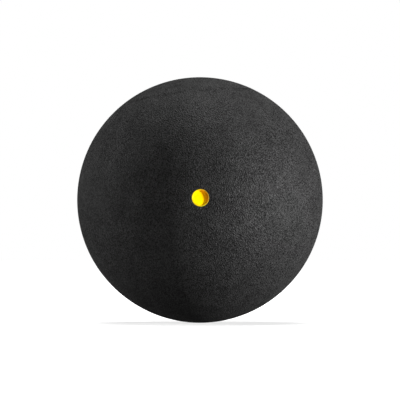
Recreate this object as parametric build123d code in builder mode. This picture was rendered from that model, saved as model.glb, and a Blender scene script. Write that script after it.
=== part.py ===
"""Squash ball, in millimetres: two moulded rubber half-shells, cemented rim to rim, with one painted dot.

The origin is the ball's centre, +Z is up and the dot faces -Y, so the seam lies in the XZ plane.
Every piece is turned about the Y axis from a half section in the XY plane, where X is the radius.
"""

import os
from math import cos, radians, sqrt, tan

from build123d import *

# Driving dimensions of the shell
ball_diameter = 40.0  # across the buffed outside
wall = 5.2  # rubber from the outside to the air cavity
cement_film = 0.2  # cured cement between the two flat rims
bead_radius = 0.6  # cement squeezed out into the cavity along the seam

# Driving dimensions of the dot
dot_diameter = 2.8  # mouth of the moulded pit
pit_depth = 0.6  # from the ball's outside to the pit's floor, on the dot's axis
pit_draft = 6.0  # degrees by which the pit widens towards its mouth
pit_corner = 0.15  # rounding where the pit's wall meets its floor
paint_floor = 0.32  # paint in the middle of the pit
paint_rim = 0.17  # width of the paint's raised rim, at the mouth
dish_draft = 34.0  # degrees by which the paint's dish widens towards its mouth
dish_corner = 0.06  # rounding where the dish's wall meets its middle
dish_lip = 0.10  # rounding of the raised rim's inner edge

# Sizes that follow from them
ball_radius = ball_diameter / 2
cavity_radius = ball_radius - wall
dot_radius = dot_diameter / 2
mouth_height = sqrt(ball_radius**2 - dot_radius**2)  # the mouth's plane, from the ball's centre
pit_floor = ball_radius - pit_depth  # the pit's floor, from the ball's centre
dish_floor = pit_floor + paint_floor  # the paint's middle, from the ball's centre
dish_slope = (mouth_height - dish_floor) / cos(radians(dish_draft))  # length of the dish's wall
runout = ball_radius + pit_depth  # where a pit's cutting profile ends, outside the ball


def shell_section(side):
    """Draws half the section of one half-shell, in front of the seam (side -1) or behind it (side +1)."""
    Circle(ball_radius)
    Circle(cavity_radius, mode=Mode.SUBTRACT)
    towards_pole = Align.MIN if side > 0 else Align.MAX
    with Locations((0, side * cement_film / 2)):
        Rectangle(ball_radius, ball_radius, align=(Align.MIN, towards_pole), mode=Mode.INTERSECT)


def rounding(radius, angle, edge):
    """The radius of a rounded corner, or less where it would run past that length of an edge beside it."""
    return min(radius, edge * tan(radians(angle / 2)))


def pit_section(mouth_radius, floor, draft, corner):
    """Half the section of a round pit in the front pole, whose floor is that far from the ball's centre."""
    lean = tan(radians(draft))
    slope = (mouth_height - floor) / cos(radians(draft))  # length of the pit's wall
    foot_radius = mouth_radius - (mouth_height - floor) * lean
    runout_radius = mouth_radius + (runout - mouth_height) * lean
    with BuildSketch() as section:
        with BuildLine():
            Polyline(
                (0, -floor),
                (foot_radius, -floor),
                (runout_radius, -runout),
                (0, -runout),
                close=True,
            )
        make_face()
        floor_edge = section.vertices().group_by(Axis.Y)[-1].sort_by(Axis.X)[-1]
        fillet(floor_edge, rounding(corner, 90 + draft, 0.4 * slope))
    return section.sketch


pit = pit_section(dot_radius, pit_floor, pit_draft, pit_corner)
dish = pit_section(dot_radius - paint_rim, dish_floor, dish_draft, dish_corner)

# Front half-shell, with the pit for the dot at its pole
with BuildPart() as front_half_shell:
    with BuildSketch():
        shell_section(-1)
        add(pit, mode=Mode.SUBTRACT)
    revolve(axis=Axis.Y)
front_half_shell.part.label = "front_half_shell"

# Rear half-shell, plain all over
with BuildPart() as rear_half_shell:
    with BuildSketch():
        shell_section(+1)
    revolve(axis=Axis.Y)
rear_half_shell.part.label = "rear_half_shell"

# Seam cement: a film flush with the ball's outside, and a half-round bead along the cavity's wall
with BuildPart() as seam_cement:
    with BuildSketch(mode=Mode.PRIVATE) as bead:
        with Locations((cavity_radius, 0)):
            Circle(bead_radius)
        Circle(cavity_radius, mode=Mode.INTERSECT)
    with BuildSketch():
        Circle(ball_radius)
        Circle(cavity_radius, mode=Mode.SUBTRACT)
        Rectangle(ball_radius, cement_film, align=(Align.MIN, Align.CENTER), mode=Mode.INTERSECT)
        add(bead.sketch)
    revolve(axis=Axis.Y)
seam_cement.part.label = "seam_cement"

# Yellow dot: paint that fills the pit to the ball's surface at its rim, and is dished in its middle
with BuildPart() as yellow_dot:
    with BuildSketch() as dot_section:
        add(pit)
        Circle(ball_radius, mode=Mode.INTERSECT)
        add(dish, mode=Mode.SUBTRACT)
        rim_edge = dot_section.vertices().sort_by(Axis.Y)[0]
        lip_room = min(0.9 * paint_rim, 0.55 * dish_slope)
        fillet(rim_edge, rounding(dish_lip, 90 + dish_draft, lip_room))
    revolve(axis=Axis.Y)
yellow_dot.part.label = "yellow_dot"

os.makedirs("parts", exist_ok=True)
for piece in (front_half_shell, rear_half_shell, seam_cement, yellow_dot):
    export_step(piece.part, f"parts/{piece.part.label}.step")
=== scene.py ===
"""Squash ball: the looks of its two buffed rubber half-shells, the seam between them and the painted dot.

Everything is in metres, in the solids' own frame: the ball's centre at the origin, +Z up, the dot facing -Y.
Every piece is turned about the Y axis. Only the middle of the dot's dish is then tilted a little.
"""

from math import acos, asin, cos, degrees, pi, radians, sin, sqrt, tan

import bmesh
import bpy
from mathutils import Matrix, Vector


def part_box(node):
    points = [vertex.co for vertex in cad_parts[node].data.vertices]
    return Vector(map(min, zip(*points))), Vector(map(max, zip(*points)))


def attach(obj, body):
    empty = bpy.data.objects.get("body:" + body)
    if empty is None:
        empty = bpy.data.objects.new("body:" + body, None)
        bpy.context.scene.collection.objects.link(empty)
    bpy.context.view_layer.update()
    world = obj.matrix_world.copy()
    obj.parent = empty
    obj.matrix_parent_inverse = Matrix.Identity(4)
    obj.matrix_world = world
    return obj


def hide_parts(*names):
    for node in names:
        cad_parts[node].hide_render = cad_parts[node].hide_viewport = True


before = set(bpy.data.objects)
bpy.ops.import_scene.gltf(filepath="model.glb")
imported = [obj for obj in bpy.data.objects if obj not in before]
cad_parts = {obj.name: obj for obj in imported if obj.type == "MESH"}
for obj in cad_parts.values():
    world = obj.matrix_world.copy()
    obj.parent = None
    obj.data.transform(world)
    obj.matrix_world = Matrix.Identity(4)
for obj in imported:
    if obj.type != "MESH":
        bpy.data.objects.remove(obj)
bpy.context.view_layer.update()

MM = 0.001
CLOSE = 0.001 * MM  # points nearer than this are one point

# Sizes of the solids
ball_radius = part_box("rear_half_shell")[1].y
cavity_radius = min(v.co.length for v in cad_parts["rear_half_shell"].data.vertices)
seam_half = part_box("rear_half_shell")[0].y  # half the cement's thickness
bead_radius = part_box("seam_cement")[1].y  # of the cement's bead, in the cavity
dot_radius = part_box("yellow_dot")[1].x
mouth = sqrt(ball_radius**2 - dot_radius**2)  # the plane of the pit's mouth, in front of the ball's centre
pit_floor = -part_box("yellow_dot")[1].y  # the plane of the pit's floor, in front of the ball's centre

# Steps round the Y axis, and along the arcs of a section
ball_steps = 240
dot_steps = 160
quarter_steps = 60
round_steps = 5

# Edges of the rubber
seam_round = 0.09 * MM  # buffed rounding along both sides of the seam
seam_sunk = 0.035 * MM  # how far the cement lies below the rubber
mouth_round = 0.05 * MM  # rounding of the pit's mouth
pit_draft = 6.0  # degrees by which the pit widens towards its mouth
sharp_edge = 40.0  # degrees past which an edge is shaded as a sharp one

# The paint in the pit
paint_gap = 0.003 * MM  # between the paint's back and the rubber
paint_bead = 0.10 * MM  # radius of the bead along the paint's edge, whose crest is level with the pit's mouth
dish_depth = 0.172 * MM  # the paint's middle below the pit's mouth
dish_draft = 34.0  # degrees by which the paint's dish widens towards its mouth
dish_corner = 0.04 * MM  # rounding where the dish's wall meets its middle
tilt_down = 3.5  # degrees by which the dish's middle slopes, because the paint settled to its lower side
tilt_left = 5.0  # degrees by which it slopes because the paint settled to its left side
shade_side = (0.93, 0, 0.37)  # the direction towards the dish's shadow, in which the paint's colour gets browner: painted shade

# A faint scuff across the front, near the top
scuff_axis = (-0.123, 0.076, 0.990)  # the scuff lies in a plane across this axis
scuff_height = 16.45 * MM  # that plane's distance from the ball's centre
scuff_half_width = 0.45 * MM  # from the middle of the scuff to its edge
scuff_start = -3.5 * MM  # the scuff shows only in front of this plane across the Y axis
scuff_full = -5.5 * MM  # and is at its strongest in front of this one
scuff_tone = 0.3  # share of the rubber's own tone that is left along the scuff
scuff_depth = 0.8  # how far the scuff is scraped down, as a share of the rubber's bumps

# Textures, in features to the metre
speck_scale = 9500
grain_scale = 5400
cloud_scale = 330
scrape_scale = 520
cement_scale = 3000
streak_scale = 2500
speck_draw = (1.25, 1.0, 0.8)  # the specks are narrower along X, and drawn out along Z
speck_turn = 45.0  # degrees by which their pattern is turned off the ball's axes

# Bumps of the textures
rubber_bump = 0.13 * MM
cement_bump = 0.06 * MM
paint_bump = 0.01 * MM

# The studio
floor_radius = 4.0
floor_grey = 0.40  # the floor's colour, for the light that falls on it
near_glow = 0.68  # how white the floor glows for the camera, near the ball
fade_start = 0.03  # the glow rises to full white from this distance
fade_end = 0.25  # to this one
lamp_distance = 0.9  # from the ball's centre to each lamp

# The photograph's view, of a picture as high as it is wide
ball_pixels = 245.7  # the ball's width in the photograph
picture_pixels = 400  # the photograph's own width
camera_distance = 0.5
camera_elevation = -1.0  # degrees above the horizon
camera_azimuth = -0.17  # degrees to the right of straight in front
sensor_width = 36.0  # millimetres, as the lens is given in


def arc(centre, radius, start, end, steps):
    """Points of an arc in a half section, from angle start to end, in degrees.

    A point is (distance from the axis, y). An angle of 0 points away from the axis, and 90 towards the front.
    """
    angles = [radians(start + (end - start) * i / steps) for i in range(steps + 1)]
    return [(centre[0] + radius * cos(a), centre[1] - radius * sin(a)) for a in angles]


def front_of_ball(radius):
    """The ball's outside, as a height along Y, at that distance from the axis."""
    return -sqrt(ball_radius**2 - radius**2)


def pit_wall(depth):
    """The pit's wall, as a distance from the axis, at that depth below the plane of its mouth."""
    return dot_radius - depth * tan(radians(pit_draft))


def turn(name, outline, steps):
    """Starts a piece: draws half its section's outline, point by point, and spins it round the Y axis."""
    bpy.ops.object.select_all(action="DESELECT")
    piece = bpy.data.objects.new(name, bpy.data.meshes.new(name))
    bpy.context.scene.collection.objects.link(piece)
    bpy.context.view_layer.objects.active = piece
    piece.select_set(True)
    bpy.ops.object.mode_set(mode="EDIT")
    bpy.ops.mesh.primitive_plane_add(size=MM, location=(*outline[0], 0))
    bpy.ops.mesh.merge(type="CENTER")
    for (radius, y), (next_radius, next_y) in zip(outline, outline[1:]):
        bpy.ops.mesh.extrude_vertices_move(
            TRANSFORM_OT_translate={"value": (next_radius - radius, next_y - y, 0)}
        )
    bpy.ops.mesh.select_all(action="SELECT")
    bpy.ops.mesh.spin(steps=steps, angle=2 * pi, center=(0, 0, 0), axis=(0, 1, 0))
    bpy.ops.mesh.select_all(action="SELECT")
    bpy.ops.mesh.remove_doubles(threshold=CLOSE)
    bpy.ops.mesh.normals_make_consistent(inside=False)
    bpy.ops.object.mode_set(mode="OBJECT")
    return piece


def dress(piece, material, node):
    """Shades a finished mesh, gives it its material and puts it in the place of the CAD node."""
    bpy.ops.object.shade_smooth_by_angle(angle=radians(sharp_edge))
    shading = piece.modifiers.new("even_shading", "WEIGHTED_NORMAL")
    shading.keep_sharp = True
    bpy.ops.object.modifier_apply(modifier=shading.name)
    piece.data.materials.append(material)
    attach(piece, "root")
    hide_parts(node)


def pit_outline():
    """The moulded pit, from the middle of its floor to the rounded edge of its mouth."""
    edge = dot_radius + mouth_round
    rounding = arc((edge, front_of_ball(edge) + mouth_round), mouth_round, 180, 90, round_steps)
    return [(0, -pit_floor), (pit_wall(mouth - pit_floor), -pit_floor), *rounding]


def outside_outline(start):
    """A half-shell's outside, from that angle off the seam's plane, its rounded rim and its cavity."""
    rim = seam_half + seam_round
    outside = arc((0, 0), ball_radius, start, degrees(asin(rim / ball_radius)), quarter_steps)
    rounding = arc((outside[-1][0] - seam_round, -rim), seam_round, 0, -90, round_steps)
    cavity = arc((0, 0), cavity_radius, degrees(asin(seam_half / cavity_radius)), 90, quarter_steps)
    return outside + rounding[1:] + cavity


def half_shells(material):
    """The two moulded halves, buffed outside and hollow inside. The front one has the pit for the dot."""
    pit = pit_outline()
    edge_angle = degrees(acos(pit[-1][0] / ball_radius))
    front = turn("front_shell", pit[:-1] + outside_outline(edge_angle), ball_steps)
    dress(front, material, "front_half_shell")
    backwards = [(radius, -y) for radius, y in outside_outline(90)]
    rear = turn("rear_shell", backwards, ball_steps)
    dress(rear, material, "rear_half_shell")


def seam(material):
    """The cured cement: a thin ring between the two rims, with the bead that squeezed out into the cavity."""
    lean = degrees(asin(seam_half / bead_radius))
    squeezed = arc((cavity_radius, 0), bead_radius, -90 - lean, -270 + lean, 4 * round_steps)
    outside = ball_radius - seam_sunk
    root = cavity_radius + seam_half
    outline = [
        (outside, -seam_half),
        (outside, seam_half),
        (root, seam_half),
        *squeezed,
        (root, -seam_half),
        (outside, -seam_half),
    ]
    ring = turn("seam", outline, ball_steps)
    dress(ring, material, "seam_cement")


def paint_outline():
    """The dried paint, from the middle of its dish, over the bead along its edge and down the pit's wall."""
    middle = -(mouth - dish_depth)
    bead_centre = (pit_wall(paint_bead) - paint_gap - paint_bead, -(mouth - paint_bead))
    bead = arc(bead_centre, paint_bead, 180 - dish_draft, -pit_draft, 4 * round_steps)
    top_of_wall = bead[0]
    foot = top_of_wall[0] - (middle - top_of_wall[1]) * tan(radians(dish_draft))
    corner_reach = dish_corner * tan(radians(90 - dish_draft) / 2)
    corner_centre = (foot - corner_reach, middle - dish_corner)
    corner = arc(corner_centre, dish_corner, -90, -dish_draft, 2 * round_steps)
    floor = [(corner_centre[0] * i / round_steps, middle) for i in range(round_steps)]
    back = -(pit_floor + paint_gap)
    return [*floor, *corner, *bead, (pit_wall(mouth + back) - paint_gap, back), (0, back)]


def dot(material):
    """The yellow dot: dried paint that stands up along the pit's wall and settled to its lower left."""
    outline = paint_outline()
    middle = outline[0][1]
    paint = turn("dot", outline, dot_steps)
    bpy.ops.object.mode_set(mode="EDIT")
    bpy.ops.mesh.select_all(action="DESELECT")
    mesh = bmesh.from_edit_mesh(paint.data)
    for vertex in mesh.verts:
        in_dish = middle - dish_corner < vertex.co.y < middle + CLOSE
        vertex.select_set(in_dish)
    bmesh.update_edit_mesh(paint.data)
    for angle, axis in ((tilt_down, "X"), (-tilt_left, "Z")):
        bpy.ops.transform.rotate(value=radians(angle), orient_axis=axis, center_override=(0, middle, 0))
    bpy.ops.object.mode_set(mode="OBJECT")
    dress(paint, material, "yellow_dot")


def new_material(name):
    """A new material, with its node tree and its shader."""
    material = bpy.data.materials.new(name)
    material.use_nodes = True
    return material, material.node_tree, material.node_tree.nodes["Principled BSDF"]


def feed(tree, node, inputs):
    """Sets a node's inputs to numbers or colours, or links them from the outputs of other nodes."""
    for name, value in inputs.items():
        if isinstance(value, bpy.types.NodeSocket):
            tree.links.new(value, node.inputs[name])
        else:
            node.inputs[name].default_value = value


def add_node(tree, kind, output, inputs, **settings):
    """Adds a shader node of that kind, with its settings and inputs, and gives the output of that name."""
    node = tree.nodes.new("ShaderNode" + kind)
    for name, setting in settings.items():
        setattr(node, name, setting)
    feed(tree, node, inputs)
    return node.outputs[output]


def own_place(tree):
    """Each point's place in the object's own coordinates."""
    return add_node(tree, "TexCoord", "Object", {})


def noise(tree, place, scale, detail, roughness=0.5):
    """A noise texture, from 0 to 1."""
    inputs = {"Vector": place, "Scale": scale, "Detail": detail, "Roughness": roughness}
    return add_node(tree, "TexNoise", "Fac", inputs)


def calculate(tree, operation, *values):
    """The result of a math operation on numbers."""
    return add_node(tree, "Math", "Value", dict(enumerate(values)), operation=operation)


def along(tree, place, direction):
    """How far a point lies from the centre along a direction."""
    return add_node(tree, "VectorMath", "Value", {0: place, 1: direction}, operation="DOT_PRODUCT")


def length(tree, place):
    """How far a point lies from the centre."""
    return add_node(tree, "VectorMath", "Value", {0: place}, operation="LENGTH")


def scaled(tree, colour, factor):
    """A colour made darker or lighter by a factor."""
    return add_node(tree, "VectorMath", "Vector", {0: colour, "Scale": factor}, operation="SCALE")


def remap(tree, value, start, end, low=0.0, high=1.0, **settings):
    """Maps the numbers from start to end to those from low to high, and goes no further than these."""
    inputs = {"Value": value, "From Min": start, "From Max": end, "To Min": low, "To Max": high}
    return add_node(tree, "MapRange", "Result", inputs, **settings)


def spread(tree, texture, low, high):
    """Maps a texture's middle range, where most of it lies, to the numbers from low to high."""
    return remap(tree, texture, 0.3, 0.7, low, high)


def colour_ramp(tree, value, stops, interpolation="LINEAR"):
    """A colour that runs through the stops as value rises. A stop is a position from 0 to 1 and a colour."""
    node = tree.nodes.new("ShaderNodeValToRGB")
    ramp = node.color_ramp
    ramp.interpolation = interpolation
    first, *between, last = stops
    for element, (position, colour) in zip(ramp.elements, (first, last)):
        element.position = position
        element.color = (*colour, 1)
    for position, colour in between:
        ramp.elements.new(position).color = (*colour, 1)
    feed(tree, node, {"Fac": value})
    return node.outputs["Color"]


def bumps(tree, height, distance):
    """The normals of a rough surface."""
    return add_node(tree, "Bump", "Normal", {"Height": height, "Strength": 1.0, "Distance": distance})


def scuff(tree, place):
    """How strong the scuff is: strongest along its middle, broken up as a scrape is, and 0 away from it."""
    height = along(tree, place, scuff_axis)
    distance = calculate(tree, "ABSOLUTE", calculate(tree, "SUBTRACT", height, scuff_height))
    line = remap(tree, distance, 0.0, scuff_half_width, low=1.0, high=0.0)
    depth = add_node(tree, "SeparateXYZ", "Y", {"Vector": place})
    front = remap(tree, depth, scuff_start, scuff_full)
    scrape = noise(tree, place, scrape_scale, detail=3, roughness=0.8)
    broken = spread(tree, scrape, low=-0.9, high=1.5)
    return calculate(tree, "MULTIPLY", calculate(tree, "MULTIPLY", line, front), broken)


def buffed_rubber():
    """Black rubber, buffed matte: fine specks, drawn out a little, in faintly cloudy patches, and a scuff."""
    material, tree, shader = new_material("buffed_rubber")
    place = own_place(tree)
    buffing = {"Vector": place, "Rotation": (0, radians(speck_turn), 0), "Scale": speck_draw}
    drawn_out = add_node(tree, "Mapping", "Vector", buffing)
    cells = add_node(tree, "TexVoronoi", "Position", {"Vector": drawn_out, "Scale": speck_scale})
    specks = add_node(tree, "TexWhiteNoise", "Value", {"Vector": cells})
    grain = noise(tree, place, grain_scale, detail=0)
    clouds = noise(tree, place, cloud_scale, detail=3)
    mark = scuff(tree, place)
    dark_to_light = [(0.15, (0.001, 0.001, 0.001)), (0.85, (0.028, 0.028, 0.028))]
    tone = colour_ramp(tree, specks, dark_to_light)
    cloudy = spread(tree, clouds, low=0.85, high=1.15)
    darker = remap(tree, mark, 0.0, 1.0, low=1.0, high=scuff_tone)
    scraped = calculate(tree, "MULTIPLY_ADD", mark, -scuff_depth, grain)
    normal = bumps(tree, scraped, rubber_bump)
    look = {
        "Base Color": scaled(tree, tone, calculate(tree, "MULTIPLY", cloudy, darker)),
        "Roughness": spread(tree, clouds, low=0.70, high=0.60),
        "Specular IOR Level": 0.0,
        "Coat Weight": spread(tree, clouds, low=0.027, high=0.035),
        "Coat Roughness": 0.42,
        "Coat IOR": 2.2,
        "Normal": normal,
        "Coat Normal": normal,
    }
    feed(tree, shader, look)
    return material


def seam_cement():
    """The cement's edge between the half-shells, a little smoother and browner than the rubber."""
    material, tree, shader = new_material("seam_cement")
    grain = noise(tree, own_place(tree), cement_scale, detail=2)
    normal = bumps(tree, grain, cement_bump)
    dark_to_light = [(0.0, (0.008, 0.0075, 0.007)), (1.0, (0.018, 0.016, 0.014))]
    look = {
        "Base Color": colour_ramp(tree, grain, dark_to_light),
        "Roughness": spread(tree, grain, low=0.5, high=0.62),
        "Specular IOR Level": 0.0,
        "Coat Weight": 0.035,
        "Coat Roughness": 0.4,
        "Coat IOR": 2.2,
        "Normal": normal,
        "Coat Normal": normal,
    }
    feed(tree, shader, look)
    return material


def yellow_enamel():
    """Yellow paint, faintly streaked, with its full colour where it lies thick in the dish.

    It is duller on the bead, where the black rubber shows through, and browner towards its upper right, where
    the dish's shadow falls: painted shade.
    """
    material, tree, shader = new_material("yellow_enamel")
    place = own_place(tree)
    streaks = noise(tree, place, streak_scale, detail=2)
    flat = add_node(tree, "VectorMath", "Vector", {0: place, 1: (1, 0, 1)}, operation="MULTIPLY")
    outwards = remap(tree, length(tree, flat), 0.0, dot_radius)
    dish_to_bead = [(0.78, (1.0, 0.63, 0.0)), (0.86, (0.90, 0.47, 0.0)), (0.94, (0.50, 0.46, 0.02))]
    tone = colour_ramp(tree, outwards, dish_to_bead)
    # Painted shade: the paint's colour gets browner towards the side where the dish's own shadow falls
    sideways = remap(tree, along(tree, place, shade_side), 0.0, dot_radius)
    lit_to_painted_shade = [(0.05, (1.0, 1.0, 1.0)), (0.60, (1.0, 0.66, 1.0)), (0.90, (0.60, 0.42, 1.0))]
    painted_shade = colour_ramp(tree, sideways, lit_to_painted_shade, interpolation="EASE")
    with_painted_shade = {"Fac": 1.0, "Color1": tone, "Color2": painted_shade}
    coat = add_node(tree, "MixRGB", "Color", with_painted_shade, blend_type="MULTIPLY")
    look = {
        "Base Color": scaled(tree, coat, spread(tree, streaks, low=0.95, high=1.03)),
        "Roughness": spread(tree, streaks, low=0.28, high=0.38),
        "Specular IOR Level": 0.03,
        "Normal": bumps(tree, streaks, paint_bump),
    }
    feed(tree, shader, look)
    return material


def background_rays(tree):
    """1 for the rays that see the background: the camera's, and those that gloss or glass sends on."""
    path = tree.nodes.new("ShaderNodeLightPath").outputs
    direct_or_gloss = calculate(tree, "MAXIMUM", path["Is Camera Ray"], path["Is Glossy Ray"])
    return calculate(tree, "MAXIMUM", direct_or_gloss, path["Is Transmission Ray"])


def white_surround(ambient):
    """A white world behind the scene, which lights the object as softly as ambient says."""
    world = bpy.data.worlds.new("white_surround")
    bpy.context.scene.world = world
    world.use_nodes = True
    tree = world.node_tree
    strength = remap(tree, background_rays(tree), 0.0, 1.0, low=ambient)
    feed(tree, tree.nodes["Background"], {"Color": (1, 1, 1, 1), "Strength": strength})


def floor_paint():
    """Pale paint for the floor. What the camera sees of it gets lighter with the distance, up to white."""
    material, tree, shader = new_material("pale_floor")
    tree.nodes.remove(shader)
    distance = length(tree, own_place(tree))
    fade = remap(tree, distance, fade_start, fade_end, low=near_glow, interpolation_type="SMOOTHSTEP")
    shown = calculate(tree, "MULTIPLY", fade, background_rays(tree))
    paint = add_node(tree, "BsdfDiffuse", "BSDF", {"Color": (floor_grey, floor_grey, floor_grey, 1)})
    glow = add_node(tree, "Emission", "Emission", {"Strength": shown})
    both = add_node(tree, "AddShader", "Shader", {0: paint, 1: glow})
    feed(tree, tree.nodes["Material Output"], {"Surface": both})
    return material


def pale_floor(material):
    """A plain pale floor under the ball, which fades into the white surround and keeps the ball's shadow."""
    bpy.ops.object.select_all(action="DESELECT")
    below = (0, 0, -ball_radius)
    bpy.ops.mesh.primitive_circle_add(vertices=96, radius=floor_radius, fill_type="NGON", location=below)
    floor = bpy.context.object
    floor.name = "floor"
    floor.data.materials.append(material)


def from_centre(azimuth, elevation, distance):
    """The place that far from the ball's centre, at degrees right of the front and above the horizon."""
    across, up = radians(azimuth), radians(elevation)
    return Vector((sin(across) * cos(up), -cos(across) * cos(up), sin(up))) * distance


def face_ball(thing, place):
    """Puts a lamp or the camera in its place, looking at the ball's centre."""
    bpy.context.scene.collection.objects.link(thing)
    thing.location = place
    thing.rotation_euler = (-thing.location).to_track_quat("-Z", "Y").to_euler()


def lamp(name, azimuth, elevation, width, level):
    """A round studio lamp. A white card at the ball, square to the lamp, would show at that level."""
    light = bpy.data.lights.new(name, "AREA")
    light.shape = "DISK"
    light.size = width
    light.energy = level * pi**2 * lamp_distance**2
    face_ball(bpy.data.objects.new(name, light), from_centre(azimuth, elevation, lamp_distance))


def photo_camera():
    """A long lens at the photograph's viewing angle, with the ball as wide in the picture as it is there."""
    camera = bpy.data.objects.new("camera", bpy.data.cameras.new("camera"))
    face_ball(camera, from_centre(camera_azimuth, camera_elevation, camera_distance))
    outline = ball_radius / sqrt(camera_distance**2 - ball_radius**2)
    camera.data.sensor_width = sensor_width
    camera.data.lens = ball_pixels / picture_pixels * sensor_width / (2 * outline)
    camera.data.clip_start = 0.01
    bpy.context.scene.camera = camera


half_shells(buffed_rubber())
seam(seam_cement())
dot(yellow_enamel())

pale_floor(floor_paint())
white_surround(ambient=0.16)
lamp("key", azimuth=74, elevation=3, width=0.08, level=3.05)
lamp("side", azimuth=-110, elevation=10, width=0.6, level=1.0)
lamp("top", azimuth=180, elevation=75, width=0.7, level=1.95)
photo_camera()
bpy.context.scene.view_settings.view_transform = "Standard"
